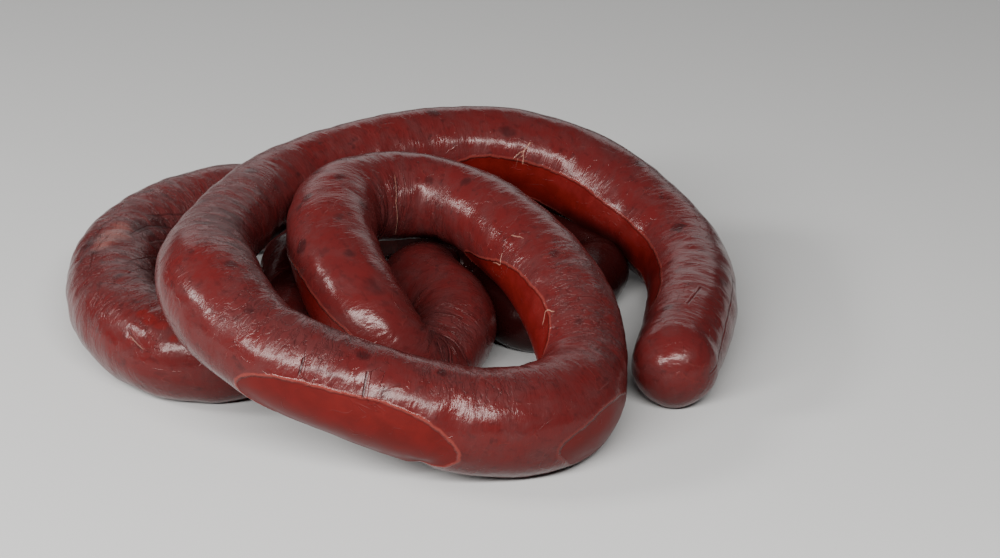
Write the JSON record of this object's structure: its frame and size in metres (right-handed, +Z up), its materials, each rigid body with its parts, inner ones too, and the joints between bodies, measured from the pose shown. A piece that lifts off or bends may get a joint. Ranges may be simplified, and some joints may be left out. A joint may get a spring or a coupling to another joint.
{
  "type": "coiled blood sausage",
  "caption": "A long dark red blood sausage in a natural casing, laid down as a loose double coil with rounded ends and a glossy, finely wrinkled skin.",
  "frame": {"origin": "middle of the footprint, on the surface that the coil lies on", "axes": "+Z up, +X to the right of the coil seen from the shown side, +Y to its back"},
  "size_m": [0.2876, 0.2674, 0.0789],
  "materials": {
    "casing": "moist natural casing over dark maroon filling, satin to glossy"
  },
  "bodies": {
    "root": {"sausage": "casing"}
  },
  "joints": []
}
